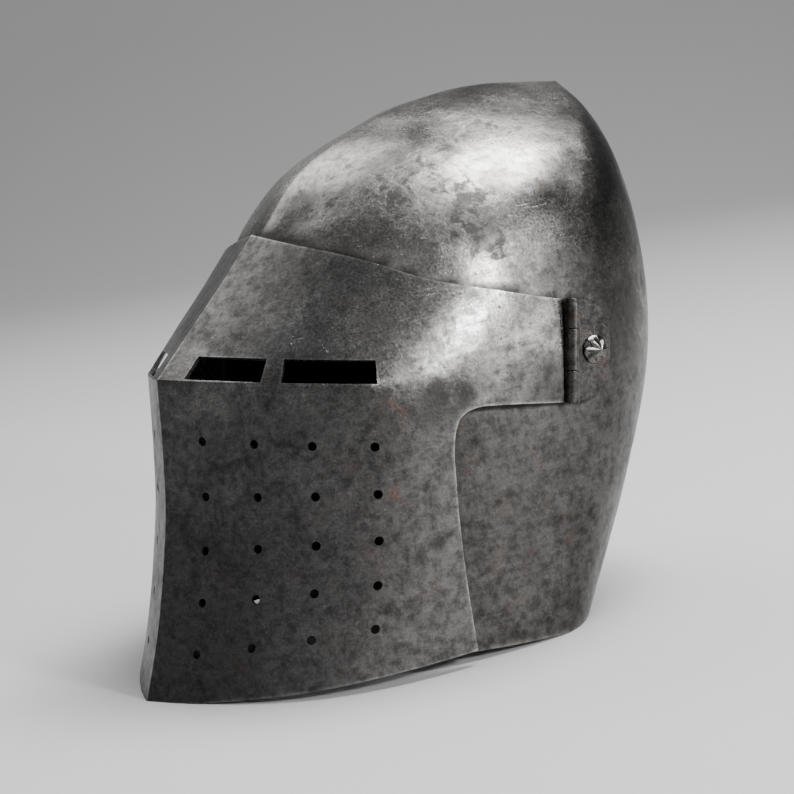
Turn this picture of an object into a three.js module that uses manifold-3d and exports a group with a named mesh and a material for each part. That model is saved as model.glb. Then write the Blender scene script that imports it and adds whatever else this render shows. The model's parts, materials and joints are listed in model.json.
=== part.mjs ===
// Visored bascinet: a pointed one-piece skull, a flat-faced visor that wraps the face, two hinge
// leaves with their pins, and two fluted pivot rivets. Millimetres, +Z up, the face looks along -Y.
//
// Everything is shaped in the head's own frame: x to the wearer's left, y to the back, z up, with
// z = 0 on the crease under the sight. The finished group is then tipped back so that the helmet
// stands on its chin and nape, as it does when it is put down.
import * as THREE from "three";
import { mergeVertices } from "three/addons/utils/BufferGeometryUtils.js";
import Module from "manifold-3d";

const wasm = await Module();
wasm.setup();

// ---- driving dimensions ----------------------------------------------------------------------
const plate = 2; // thickness of the skull's and the visor's sheet
const standoff = 1; // clearance between the skull and the closed visor
const gap = 0.3; // clearance round pins, shanks and rivet heads
const restPitch = THREE.MathUtils.degToRad(10); // how far it leans back when it stands
const chin = { y: -182.5, z: -149.5 }; // the chin's lowest edge, which touches the floor

const pivot = { y: -4.5, z: 14 }; // the visor lifts about this axis, parallel to x
const hinge = { x: 110.2, y: -19, radius: 3.6, pin: 1.5, foot: -10, low: 4.8, high: 24.2, top: 38 };
const leaf = { inner: 106.7, thickness: 1.6, back: 5 }; // flat plate behind the barrel
const rivet = { head: 6.7, dome: 5.4, shank: 3, burr: 5.4, burrHeight: 1.5, flutes: 8 };
const hole = { radius: 2.1, first: 24.5, pitch: 28.5, top: -27.5, columns: 4, rows: 5 };
const sight = { sill: 0.8, head: 11.2 };
const sightWindows = [
  { inner: { head: 0.05, sill: 0.05 }, outer: { head: 0.197, sill: 0.21 } },
  { inner: { head: 0.235, sill: 0.255 }, outer: { head: 0.452, sill: 0.478 } },
];

// ---- the skull: matching points on its front, side and back lines ------------------------------
// level: the height z, up to 75; above it the sections lean and close on the point at the back.
// full: how far the front and side handles reach, as shares of the section's half width and depth.
const skullLines = [
  { level: -160, front: [-133, -160], side: [98.5, -26, -160], back: [20, -160], full: [0.7, 0.62] },
  { level: -120, front: [-135, -120], side: [101.5, -20, -120], back: [35, -120], full: [0.7, 0.62] },
  { level: -80, front: [-137, -80], side: [104, -14, -80], back: [53, -80], full: [0.7, 0.62] },
  { level: -40, front: [-138, -40], side: [105.5, -8, -40], back: [68, -40], full: [0.7, 0.62] },
  { level: 0, front: [-137, 0], side: [106, -4, 0], back: [79.5, 0], full: [0.68, 0.62] },
  { level: 40, front: [-130, 40], side: [103.5, -3, 40], back: [81.5, 40], full: [0.66, 0.6] },
  { level: 75, front: [-114.5, 75], side: [96.5, -1, 75], back: [75.5, 75], full: [0.67, 0.58] },
  { level: 100, front: [-94.5, 99.5], side: [86, 5, 95], back: [71.5, 92], full: [0.59, 0.56] },
  { level: 120, front: [-67, 117.5], side: [69, 17, 113], back: [66.5, 110], full: [0.5, 0.55] },
  { level: 135, front: [-30, 134], side: [46, 33, 128], back: [61, 126], full: [0.54, 0.55] },
  { level: 145, front: [15, 143.5], side: [21, 46, 139], back: [57.5, 138.5], full: [0.55, 0.55] },
  { level: 150, front: [56, 146], side: [0, 56, 146], back: [56, 146], full: [0.55, 0.55] },
];
const skullRidge = THREE.MathUtils.degToRad(9); // lean of each half at the front ridge

// ---- the visor: its middle line, and its edges as heights over the floor or over the crease -----
const faceLine = [
  [-170, -187],
  [-150, -182.5],
  [-121, -177],
  [-90, -173.5],
  [-60, -172],
  [-30, -173.5],
  [0, -176],
];
const browLine = [
  [0, -176],
  [20, -160.5],
  [45, -141],
  [67, -125],
  [90, -108],
];
const visorRidge = THREE.MathUtils.degToRad(18);
const visorHead = [
  [0, 67],
  [0.16, 62],
  [0.28, 58.5],
  [0.4, 54],
  [0.55, 47],
  [0.74, 42],
  [0.92, 37.5],
  [1, 36.5],
];
const visorFoot = [
  [0, -1.2],
  [0.07, -0.6],
  [0.15, 1],
  [0.36, 3.8],
  [0.52, 5.6],
  [0.79, 7.1],
  [1, 7.5],
];
const skullFoot = [
  [0, 6],
  [0.7, 5.6],
  [0.86, 3.3],
  [1, 1],
  [1.15, -0.4],
  [1.4, -1.2],
  [2, -1.2],
];

// ---- curves ------------------------------------------------------------------------------------
// A smooth curve through [x, y] rows, as a function of x.
function through(rows) {
  const slopes = rows.slice(1).map(([x, y], i) => (y - rows[i][1]) / (x - rows[i][0]));
  const tangents = rows.map(([x], i) => {
    if (i === 0) return slopes[0];
    if (i === rows.length - 1) return slopes[i - 1];
    const before = x - rows[i - 1][0];
    const after = rows[i + 1][0] - x;
    return (slopes[i - 1] * after + slopes[i] * before) / (before + after);
  });
  return (x) => {
    let i = 0;
    while (i < rows.length - 2 && x > rows[i + 1][0]) i++;
    const step = rows[i + 1][0] - rows[i][0];
    const t = (x - rows[i][0]) / step;
    const t2 = t * t;
    const t3 = t2 * t;
    return (
      (2 * t3 - 3 * t2 + 1) * rows[i][1] +
      (t3 - 2 * t2 + t) * step * tangents[i] +
      (3 * t2 - 2 * t3) * rows[i + 1][1] +
      (t3 - t2) * step * tangents[i + 1]
    );
  };
}

const column = (pick) => through(skullLines.map((row) => [row.level, pick(row)]));
const skullLine = {
  frontY: column((row) => row.front[0]),
  frontZ: column((row) => row.front[1]),
  sideX: column((row) => row.side[0]),
  sideY: column((row) => row.side[1]),
  sideZ: column((row) => row.side[2]),
  backY: column((row) => row.back[0]),
  backZ: column((row) => row.back[1]),
  fullFront: column((row) => row.full[0]),
  fullSide: column((row) => row.full[1]),
};
const faceY = through(faceLine);
const browY = through(browLine);
const faceSlope = faceY(0) - faceY(-1);
const browSlope = browY(1) - browY(0);
const visorHeadAt = through(visorHead);
const visorFootAt = through(visorFoot);
const skullFootAt = through(skullFoot);

function bezier(a, b, c, d, t) {
  const s = 1 - t;
  return new THREE.Vector3()
    .addScaledVector(a, s * s * s)
    .addScaledVector(b, 3 * s * s * t)
    .addScaledVector(c, 3 * s * t * t)
    .addScaledVector(d, t * t * t);
}

// One half section: u runs from 0 on the front line to 1 on the side line and 2 on the back line.
function section(front, side, back, fullFront, fullSide, ridge, u) {
  const V = THREE.Vector3;
  if (u <= 1) {
    const reach = fullFront * side.x;
    return bezier(
      front,
      new V(reach * Math.cos(ridge), front.y + reach * Math.sin(ridge), front.z),
      new V(side.x, side.y - fullSide * (side.y - front.y), side.z),
      side,
      u,
    );
  }
  const round = 0.5523;
  return bezier(
    side,
    new V(side.x, side.y + round * (back.y - side.y), side.z),
    new V(round * side.x, back.y, back.z),
    back,
    u - 1,
  );
}

function skullPoint(u, level) {
  const l = skullLine;
  return section(
    new THREE.Vector3(0, l.frontY(level), l.frontZ(level)),
    new THREE.Vector3(l.sideX(level), l.sideY(level), l.sideZ(level)),
    new THREE.Vector3(0, l.backY(level), l.backZ(level)),
    l.fullFront(level),
    l.fullSide(level),
    skullRidge,
    u,
  );
}

function visorPoint(u, z) {
  const l = skullLine;
  const grown = standoff + plate;
  const brow = THREE.MathUtils.smoothstep(z, 0, 80);
  // Face and brow meet in a fold at z = 0, sharp across the sight and melting away beside it.
  const melt = 12 * THREE.MathUtils.smoothstep(u, 0.44, 0.62);
  const face = z < 0 ? faceY(z) : faceY(0) + z * faceSlope;
  const above = z > 0 ? browY(z) : browY(0) + z * browSlope;
  const frontY = (face + above + Math.hypot(face - above, melt)) / 2;
  return section(
    new THREE.Vector3(0, frontY, z),
    new THREE.Vector3(l.sideX(z) + grown, l.sideY(z), z),
    new THREE.Vector3(0, l.backY(z) + grown, z),
    THREE.MathUtils.lerp(0.99, 0.68, brow),
    THREE.MathUtils.lerp(0.52, 0.56, brow),
    visorRidge * (1 - 0.25 * brow),
    u,
  );
}

const floorZ = (y) => chin.z + (y - chin.y) * Math.tan(restPitch);

// Where a surface ends at its foot: `rise` over the floor that the standing helmet rests on.
function footZ(at, rise, u) {
  let z = -130;
  for (let i = 0; i < 8; i++) z = floorZ(at(u, z).y) + rise;
  return z;
}

// ---- solids ------------------------------------------------------------------------------------
function solid(positions, triangles) {
  const geometry = new THREE.BufferGeometry();
  geometry.setAttribute("position", new THREE.Float32BufferAttribute(positions, 3));
  geometry.setIndex(triangles);
  return fromGeometry(geometry);
}

function fromGeometry(source, matrix) {
  let geometry = source.clone();
  geometry.deleteAttribute("normal");
  geometry.deleteAttribute("uv");
  if (matrix) geometry.applyMatrix4(matrix);
  geometry = mergeVertices(geometry, 1e-4);
  const index = geometry.getIndex().array;
  const kept = [];
  for (let i = 0; i < index.length; i += 3) {
    const [a, b, c] = [index[i], index[i + 1], index[i + 2]];
    if (a !== b && b !== c && c !== a) kept.push(a, b, c);
  }
  return new wasm.Manifold(
    new wasm.Mesh({
      numProp: 3,
      vertProperties: new Float32Array(geometry.getAttribute("position").array),
      triVerts: new Uint32Array(kept),
    }),
  );
}

// A closed sheet over a grid of points (rows of equal length, seen from outside with u to the
// right and v up), `inward` thick under them and `outward` over them. A ring closes on itself.
function sheet(rows, inward, outward = 0, ring = false) {
  const nv = rows.length;
  const nu = rows[0].length;
  const spans = ring ? nu : nu - 1;
  const normals = rows.map((row) => row.map(() => []));
  for (let j = 0; j < nv - 1; j++)
    for (let i = 0; i < spans; i++) {
      const k = (i + 1) % nu;
      const across = new THREE.Vector3().subVectors(rows[j + 1][k], rows[j][i]);
      const up = new THREE.Vector3().subVectors(rows[j + 1][i], rows[j][k]);
      const n = across.cross(up).normalize();
      for (const [a, b] of [[j, i], [j, k], [j + 1, i], [j + 1, k]]) normals[a][b].push(n);
    }
  const positions = [];
  for (const distance of [outward, -inward])
    rows.forEach((row, j) =>
      row.forEach((p, i) => {
        const n = normals[j][i].reduce((sum, m) => sum.add(m), new THREE.Vector3()).normalize();
        const miter = Math.max(0.8, Math.min(...normals[j][i].map((m) => m.dot(n))));
        positions.push(...p.clone().addScaledVector(n, distance / miter));
      }),
    );
  const at = (side, j, i) => side * nv * nu + j * nu + (i % nu);
  const triangles = [];
  const quad = (a, b, c, d, flip) =>
    flip ? triangles.push(a, b, d, b, c, d) : triangles.push(a, b, c, a, c, d);
  for (let j = 0; j < nv - 1; j++)
    for (let i = 0; i < spans; i++) {
      const flip = i < spans / 2;
      quad(at(0, j, i), at(0, j, i + 1), at(0, j + 1, i + 1), at(0, j + 1, i), flip);
      quad(at(1, j, i), at(1, j + 1, i), at(1, j + 1, i + 1), at(1, j, i + 1), !flip);
    }
  for (let i = 0; i < spans; i++) {
    quad(at(1, 0, i), at(1, 0, i + 1), at(0, 0, i + 1), at(0, 0, i));
    quad(at(0, nv - 1, i), at(0, nv - 1, i + 1), at(1, nv - 1, i + 1), at(1, nv - 1, i));
  }
  if (!ring)
    for (let j = 0; j < nv - 1; j++) {
      quad(at(1, j, 0), at(0, j, 0), at(0, j + 1, 0), at(1, j + 1, 0));
      quad(at(0, j, nu - 1), at(1, j, nu - 1), at(1, j + 1, nu - 1), at(0, j + 1, nu - 1));
    }
  return solid(positions, triangles);
}

// The same point on the other side when u is negative.
function mirrored(at, u, v) {
  const p = at(Math.abs(u), v);
  if (u < 0) p.x = -p.x;
  return p;
}

// A prism across the whole helmet, from an outline of [y, z] corners or a ready shape.
function across(outline, fromX = -300, toX = 300) {
  const shape =
    outline instanceof THREE.Shape
      ? outline
      : new THREE.Shape(outline.map(([y, z]) => new THREE.Vector2(y, z)));
  const depth = toX - fromX;
  const geometry = new THREE.ExtrudeGeometry(shape, { depth, bevelEnabled: false, curveSegments: 10 });
  // shape x -> y, shape y -> z, extrusion -> x
  const place = new THREE.Matrix4().set(0, 0, 1, fromX, 1, 0, 0, 0, 0, 1, 0, 0, 0, 0, 0, 1);
  return fromGeometry(geometry, place);
}

function rod(radius, from, to, segments = 20) {
  const axis = new THREE.Vector3().subVectors(to, from);
  const geometry = new THREE.CylinderGeometry(radius, radius, axis.length(), segments);
  const turn = new THREE.Quaternion().setFromUnitVectors(
    new THREE.Vector3(0, 1, 0),
    axis.clone().normalize(),
  );
  const middle = new THREE.Vector3().addVectors(from, to).multiplyScalar(0.5);
  return fromGeometry(geometry, new THREE.Matrix4().compose(middle, turn, new THREE.Vector3(1, 1, 1)));
}

const spread = (from, to, steps) =>
  Array.from({ length: steps + 1 }, (_, i) => from + ((to - from) * i) / steps);

// ---- skull -------------------------------------------------------------------------------------
function buildSkull() {
  const half = [...spread(0, 1, 11), ...spread(1, 2, 11).slice(1)];
  const us = [...half.slice(1, -1).reverse().map((u) => -u), ...half];
  const levels = [...spread(-105, 75, 6), 86, 96, 105, 113, 121, 128, 134.5, 140, 145, 148.5, 150];
  const rows = levels.map((level) => us.map((u) => mirrored(skullPoint, u, level)));
  const foot = us.map((u) => {
    const z = footZ(skullPoint, skullFootAt(Math.abs(u)), Math.abs(u));
    return mirrored(skullPoint, u, z);
  });
  let skull = sheet([foot, ...rows], plate, 0, true);

  // The face opening stays hidden a finger's width behind the visor's edge.
  const opening = new THREE.Shape();
  opening.moveTo(-300, -300).lineTo(-76, -300).lineTo(-82, -122).lineTo(-90, -74).lineTo(-94, -25);
  opening.bezierCurveTo(-96, 20, -100, 50, -140, 52).lineTo(-300, 52);
  skull = skull.subtract(across(opening));
  for (const side of [-1, 1])
    skull = skull.subtract(
      rod(
        rivet.shank + gap,
        new THREE.Vector3(side * 95, pivot.y, pivot.z),
        new THREE.Vector3(side * 115, pivot.y, pivot.z),
      ),
    );
  return skull.subtract(underFloor());
}

const underFloor = () =>
  across([
    [-400, floorZ(-400) - 100],
    [400, floorZ(400) - 100],
    [400, floorZ(400)],
    [-400, floorZ(-400)],
  ]);

// ---- visor -------------------------------------------------------------------------------------
// The hole's place: `arc` along the section from the ridge, at height z.
function alongVisor(arc, z) {
  let u = 0;
  let run = 0;
  let last = visorPoint(0, z);
  while (run < arc) {
    u += 0.002;
    const next = visorPoint(u, z);
    run += next.distanceTo(last);
    last = next;
  }
  return u;
}

function visorNormal(u, z) {
  const du = new THREE.Vector3().subVectors(visorPoint(u + 0.01, z), visorPoint(u - 0.01, z));
  const dz = new THREE.Vector3().subVectors(visorPoint(u, z + 1), visorPoint(u, z - 1));
  return du.cross(dz).normalize();
}

function buildVisor() {
  const half = [0, 0.03, ...spread(0.08, 0.56, 8), ...spread(0.64, 0.98, 5)];
  const us = [...half.slice(1).reverse().map((u) => -u), ...half];
  const below = spread(0, 1, 8);
  const above = [0.09, 0.18, 0.38, 0.58, 0.79, 1];
  const foot = us.map((u) => footZ(visorPoint, visorFootAt(Math.abs(u)), Math.abs(u)));
  const rows = [
    ...below.map((t) => us.map((u, i) => mirrored(visorPoint, u, foot[i] * (1 - t)))),
    ...above.map((t) => us.map((u) => mirrored(visorPoint, u, visorHeadAt(Math.abs(u)) * t))),
  ];
  let visor = sheet(rows, plate);

  // The rear edge: up from the foot, a rounded corner, then the arm back to the hinge.
  const behind = new THREE.Shape();
  behind.moveTo(hinge.y, 90).lineTo(hinge.y, hinge.foot).lineTo(-60, hinge.foot);
  behind.bezierCurveTo(-74, -10, -80.5, -13, -80.4, -27);
  behind.splineThru([
    new THREE.Vector2(-79.5, -43),
    new THREE.Vector2(-76, -74),
    new THREE.Vector2(-72, -97),
    new THREE.Vector2(-66.7, -121.8),
    new THREE.Vector2(-60, -150),
  ]);
  behind.lineTo(200, -150).lineTo(200, 90);
  visor = visor.subtract(across(behind));

  for (const { inner, outer } of sightWindows) {
    const rowsAt = [sight.sill, (sight.sill + sight.head) / 2, sight.head].map((z) => {
      const t = (z - sight.sill) / (sight.head - sight.sill);
      const from = THREE.MathUtils.lerp(inner.sill, inner.head, t);
      const to = THREE.MathUtils.lerp(outer.sill, outer.head, t);
      return spread(from, to, 5).map((u) => [u, z]);
    });
    for (const side of [-1, 1]) {
      const grid = rowsAt.map((row) => {
        const points = row.map(([u, z]) => mirrored(visorPoint, side * u, z));
        return side < 0 ? points.reverse() : points;
      });
      visor = visor.subtract(sheet(grid, plate + 2, 2));
    }
  }

  for (let c = 0; c < hole.columns; c++)
    for (let r = 0; r < hole.rows; r++) {
      const down = r / (hole.rows - 1);
      const share = down + 0.015 * Math.sin(Math.PI * down);
      const arc = hole.first + c * hole.pitch + (c > 0 ? 1.5 : 0.5) * down;
      // The rows fan: level at the top, and rising to the back like the visor's foot at the bottom.
      const lowest = -125.5 + 5.3 * c;
      const z = hole.top + (lowest - hole.top) * share;
      const u = alongVisor(arc, z);
      for (const side of [-1, 1]) {
        const n = visorNormal(u, z);
        n.x *= side;
        const p = mirrored(visorPoint, side * u, z);
        const from = p.clone().addScaledVector(n, -plate - 2);
        visor = visor.subtract(rod(hole.radius, from, p.clone().addScaledVector(n, 2), 8));
      }
    }

  // Room for the leaf's knuckles, then the visor's own knuckle in the middle.
  const clear = hinge.y - hinge.radius - 0.4;
  for (const [low, high] of [
    [-40, hinge.low + 0.2],
    [hinge.high - 0.2, 90],
  ])
    visor = visor.subtract(across([[clear, low], [40, low], [40, high], [clear, high]]));
  for (const side of [-1, 1]) {
    visor = visor.add(knuckle(side, hinge.low + 0.2, hinge.high - 0.2));
    visor = visor.subtract(pinHole(side));
  }
  return visor.subtract(underFloor());
}

const knuckle = (side, low, high) =>
  rod(
    hinge.radius,
    new THREE.Vector3(side * hinge.x, hinge.y, low),
    new THREE.Vector3(side * hinge.x, hinge.y, high),
    24,
  );
const pinHole = (side) =>
  rod(
    hinge.pin + gap,
    new THREE.Vector3(side * hinge.x, hinge.y, hinge.foot - 5),
    new THREE.Vector3(side * hinge.x, hinge.y, hinge.top + 5),
    16,
  );

// ---- hinge leaf, pin and rivet -------------------------------------------------------------------
function buildLeaf(side) {
  const middle = (hinge.top + hinge.foot) / 2;
  const outline = new THREE.Shape();
  outline.moveTo(hinge.y, hinge.foot).lineTo(hinge.y + 6, hinge.foot);
  outline.bezierCurveTo(leaf.back - 4, hinge.foot + 1, leaf.back, middle - 13, leaf.back, middle);
  outline.bezierCurveTo(leaf.back, middle + 13, leaf.back - 4, hinge.top - 1, hinge.y + 6, hinge.top);
  outline.lineTo(hinge.y, hinge.top);
  const [a, b] = [side * leaf.inner, side * (leaf.inner + leaf.thickness)].sort((p, q) => p - q);
  let solidLeaf = across(outline, a, b);
  solidLeaf = solidLeaf.add(knuckle(side, hinge.foot, hinge.low - 0.2));
  solidLeaf = solidLeaf.add(knuckle(side, hinge.high + 0.2, hinge.top));
  const clear = hinge.y + hinge.radius + 0.4;
  const low = hinge.low - 0.2;
  const high = hinge.high + 0.2;
  solidLeaf = solidLeaf.subtract(across([[-60, low], [clear, low], [clear, high], [-60, high]]));
  solidLeaf = solidLeaf.subtract(pinHole(side));
  return solidLeaf.subtract(
    rod(
      rivet.shank + gap,
      new THREE.Vector3(side * 100, pivot.y, pivot.z),
      new THREE.Vector3(side * 115, pivot.y, pivot.z),
    ),
  );
}

const buildPin = (side) =>
  rod(
    hinge.pin,
    new THREE.Vector3(side * hinge.x, hinge.y, hinge.foot - 0.5),
    new THREE.Vector3(side * hinge.x, hinge.y, hinge.top + 0.5),
    16,
  );

// The rivet: a fluted dome outside the leaf, a plain shank, and a burr inside the skull.
function buildRivet(side) {
  const seat = leaf.inner + leaf.thickness + gap;
  const inside = skullLine.sideX(pivot.z) - plate - gap - 0.5;
  const profile = [
    [inside - rivet.burrHeight, 0],
    [inside - rivet.burrHeight, rivet.burr - 1],
    [inside - 0.5, rivet.burr],
    [inside, rivet.burr - 0.2],
    [inside, rivet.shank],
    [seat, rivet.shank],
    [seat, rivet.head],
    [seat + 0.9, rivet.head],
    [seat + 0.45 * rivet.dome, 0.84 * rivet.head],
    [seat + 0.74 * rivet.dome, 0.56 * rivet.head],
    [seat + 0.93 * rivet.dome, 0.25 * rivet.head],
    [seat + rivet.dome, 0],
  ];
  const segments = 32;
  const positions = [];
  profile.forEach(([x, r], j) => {
    for (let i = 0; i < segments; i++) {
      const angle = (2 * Math.PI * i) / segments;
      const flute = j > 6 && j < 11 ? 0.07 * (1 + Math.cos(rivet.flutes * angle)) : 0;
      const radius = r * (1 - flute);
      positions.push(side * x, pivot.y + radius * Math.cos(angle), pivot.z + radius * Math.sin(angle));
    }
  });
  const triangles = [];
  for (let j = 0; j < profile.length - 1; j++)
    for (let i = 0; i < segments; i++) {
      const k = (i + 1) % segments;
      const [a, b, c, d] = [j * segments + i, j * segments + k, (j + 1) * segments + k, (j + 1) * segments + i];
      if (side > 0) triangles.push(a, b, c, a, c, d);
      else triangles.push(a, c, b, a, d, c);
    }
  return solid(positions, triangles);
}

// ---- the assembly --------------------------------------------------------------------------------
const steel = (color, roughness) => new THREE.MeshStandardMaterial({ color, metalness: 1, roughness });
const materials = {
  skull: steel(0x9a9894, 0.38),
  visor: steel(0x8b8987, 0.42),
  hinge: steel(0x5a5653, 0.5),
  rivet: steel(0x8f8b86, 0.35),
};

function mesh(name, body, material) {
  if (body.volume() < 0) throw new Error(`${name} faces inwards`);
  const { numProp, vertProperties, triVerts } = body.getMesh();
  const geometry = new THREE.BufferGeometry();
  const positions = new Float32Array((vertProperties.length / numProp) * 3);
  for (let i = 0; i < positions.length / 3; i++)
    for (let k = 0; k < 3; k++) positions[3 * i + k] = vertProperties[numProp * i + k];
  geometry.setAttribute("position", new THREE.BufferAttribute(positions, 3));
  geometry.setIndex(new THREE.BufferAttribute(new Uint32Array(triVerts), 1));
  geometry.computeVertexNormals();
  const made = new THREE.Mesh(geometry, material);
  made.name = name;
  return made;
}

const helmet = new THREE.Group();
helmet.name = "helmet";
const head = new THREE.Group();
head.name = "head_frame";
head.rotation.x = -restPitch;
helmet.add(head);

head.add(mesh("skull", buildSkull(), materials.skull));
head.add(mesh("visor", buildVisor(), materials.visor));
for (const [hand, side] of [
  ["left", 1],
  ["right", -1],
]) {
  head.add(mesh(`hinge_leaf_${hand}`, buildLeaf(side), materials.hinge));
  head.add(mesh(`hinge_pin_${hand}`, buildPin(side), materials.hinge));
  head.add(mesh(`pivot_rivet_${hand}`, buildRivet(side), materials.rivet));
}

// Stand it on z = 0 with the middle of its box over the origin.
helmet.updateMatrixWorld(true);
const box = new THREE.Box3().setFromObject(helmet, true);
helmet.position.set(0, -(box.min.y + box.max.y) / 2, -box.min.z);
helmet.updateMatrixWorld(true);

export default helmet;
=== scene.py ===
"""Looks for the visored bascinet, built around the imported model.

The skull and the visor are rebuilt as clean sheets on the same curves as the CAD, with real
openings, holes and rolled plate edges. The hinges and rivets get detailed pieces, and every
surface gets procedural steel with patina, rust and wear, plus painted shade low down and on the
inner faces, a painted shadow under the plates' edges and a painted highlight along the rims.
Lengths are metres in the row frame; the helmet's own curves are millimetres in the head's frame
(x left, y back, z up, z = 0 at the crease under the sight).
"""

import json
import math

import bmesh
import bpy
from mathutils import Matrix, Vector, kdtree, noise


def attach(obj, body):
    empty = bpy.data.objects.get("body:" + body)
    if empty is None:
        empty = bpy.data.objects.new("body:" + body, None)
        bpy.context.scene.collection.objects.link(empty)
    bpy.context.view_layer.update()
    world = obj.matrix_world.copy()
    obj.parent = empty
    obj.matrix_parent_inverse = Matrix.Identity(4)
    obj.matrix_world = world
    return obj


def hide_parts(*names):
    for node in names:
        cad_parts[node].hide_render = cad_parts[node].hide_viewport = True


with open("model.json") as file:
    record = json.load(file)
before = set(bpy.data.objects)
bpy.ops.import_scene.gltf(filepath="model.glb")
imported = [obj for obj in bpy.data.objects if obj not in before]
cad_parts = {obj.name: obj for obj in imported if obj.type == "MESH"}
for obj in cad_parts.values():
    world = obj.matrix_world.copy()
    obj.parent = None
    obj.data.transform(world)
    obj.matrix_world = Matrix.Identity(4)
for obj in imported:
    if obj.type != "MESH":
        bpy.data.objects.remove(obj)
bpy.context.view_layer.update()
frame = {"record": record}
MM = 0.001

# ---- driving dimensions, as in the CAD ---------------------------------------------------------
PLATE = 2.0
STANDOFF = 1.0
REST_PITCH = math.radians(10)
CHIN = Vector((0, -182.5, -149.5))
PIVOT = Vector((0, -4.5, 14))
HINGE = {"x": 110.2, "y": -19, "radius": 3.6, "pin": 1.5, "foot": -10, "low": 4.8, "high": 24.2, "top": 38}
LEAF = {"inner": 106.7, "thickness": 1.6, "back": 5}
RIVET = {"head": 6.7, "dome": 5.4, "shank": 3.0, "burr": 5.4, "flutes": 8, "flute_depth": 0.34}
HOLE = {"radius": 2.1, "first": 24.5, "pitch": 28.5, "top": -27.5, "rows": 5}
SIGHT = {"sill": 0.8, "head": 11.2}

# The head's frame in the row frame: leaning back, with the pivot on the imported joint.
joint_at = Vector(frame["record"]["behaviour"]["joints"][0]["pos_m"])
LEAN = Matrix.Rotation(-REST_PITCH, 3, "X")
ORIGIN = joint_at - LEAN @ (PIVOT * MM)
HEAD_TO_ROW = Matrix.Translation(ORIGIN) @ LEAN.to_4x4() @ Matrix.Scale(MM, 4)


def to_row(p):
    """A point in the head's frame (mm) as a point in the row frame (m)."""
    return LEAN @ (Vector(p) * MM) + ORIGIN


# ---- camera, floor and light ---------------------------------------------------------------------
def make_camera():
    azimuth, elevation, distance = math.radians(56), math.radians(4), 1150
    aim = Vector((0, -42.1, -13.1))
    back = Vector(
        (
            math.sin(azimuth) * math.cos(elevation),
            -math.cos(azimuth) * math.cos(elevation),
            math.sin(elevation),
        )
    )
    right = Vector((math.cos(azimuth), math.sin(azimuth), 0))
    up = back.cross(right)
    turn = Matrix((LEAN @ right, LEAN @ up, LEAN @ back)).transposed().to_4x4()
    data = bpy.data.cameras.new("camera")
    data.sensor_width = 36
    data.lens = 105.3
    data.clip_end = 30
    camera = bpy.data.objects.new("camera", data)
    camera.matrix_world = Matrix.Translation(to_row(aim + back * distance)) @ turn
    bpy.context.collection.objects.link(camera)
    bpy.context.scene.camera = camera


def area_light(name, at, aim, size, power):
    data = bpy.data.lights.new(name, "AREA")
    data.shape = "RECTANGLE"
    data.size, data.size_y = size
    data.energy = power
    light = bpy.data.objects.new(name, data)
    light.location = at
    light.rotation_euler = (Vector(aim) - Vector(at)).to_track_quat("-Z", "Y").to_euler()
    bpy.context.collection.objects.link(light)


def make_floor():
    """A pale sheet that runs out behind the helmet and curves up into a backdrop."""
    mesh = bmesh.new()
    ends = [mesh.verts.new((x, -3.5, 0)) for x in (-6, 6)]
    geom = bmesh.ops.extrude_edge_only(mesh, edges=[mesh.edges.new(ends)])["geom"]
    bmesh.ops.translate(mesh, vec=(0, 5.2, 0), verts=[g for g in geom if isinstance(g, bmesh.types.BMVert)])
    edge = next(g for g in geom if isinstance(g, bmesh.types.BMEdge))
    curve = bmesh.ops.spin(
        mesh, geom=[edge, *edge.verts], cent=(0, 1.7, 1.2), axis=(1, 0, 0), angle=math.pi / 2, steps=24
    )["geom_last"]
    edge = next(g for g in curve if isinstance(g, bmesh.types.BMEdge))
    geom = bmesh.ops.extrude_edge_only(mesh, edges=[edge])["geom"]
    bmesh.ops.translate(mesh, vec=(0, 0, 3), verts=[g for g in geom if isinstance(g, bmesh.types.BMVert)])
    bmesh.ops.remove_doubles(mesh, verts=mesh.verts, dist=0.0001)
    bmesh.ops.recalc_face_normals(mesh, faces=mesh.faces)
    bmesh.ops.rotate(mesh, cent=(0, 0, 0), matrix=Matrix.Rotation(math.radians(56), 3, "Z"), verts=mesh.verts)
    data = bpy.data.meshes.new("studio_floor")
    mesh.to_mesh(data)
    mesh.free()
    data.shade_smooth()
    data.materials.append(paper_material())
    floor = bpy.data.objects.new("studio_floor", data)
    bpy.context.collection.objects.link(floor)


def head_direction(x, y, z):
    """A direction given in the head's frame, as one in the row frame."""
    return LEAN @ Vector((x, y, z)).normalized()


HEAD_MIDDLE = (0, -40, 10)
# Each light's name, the way to it from the head's middle, its distance in m, the place in the head's
# frame that it faces, its size in m and its power in W.
LIGHTS = [
    ("overhead", (0.12, 0.19, 0.98), 1.5, HEAD_MIDDLE, (0.9, 0.9), 56),
    ("side_high", (0.93, 0.05, 0.36), 1.5, (95, -48, 54), (0.22, 0.22), 20),
    ("side_low", (0.9, 0.38, 0.13), 1.7, HEAD_MIDDLE, (0.4, 0.3), 5),
    ("front_high", (-0.65, -0.22, 0.73), 1.5, HEAD_MIDDLE, (1.0, 1.0), 12),
    ("fill", (0.5, -0.85, 0.3), 2.2, HEAD_MIDDLE, (1.4, 1.4), 3),
]
AMBIENT = {"colour": (0.62, 0.63, 0.65, 1), "strength": 0.24}


def make_lights():
    middle = to_row(HEAD_MIDDLE)
    for name, way, distance, target, size, power in LIGHTS:
        area_light(name, middle + head_direction(*way) * distance, to_row(target), size, power)
    world = bpy.data.worlds.new("studio")
    world.use_nodes = True
    background = world.node_tree.nodes["Background"]
    background.inputs["Color"].default_value = AMBIENT["colour"]
    background.inputs["Strength"].default_value = AMBIENT["strength"]
    bpy.context.scene.world = world


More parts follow.
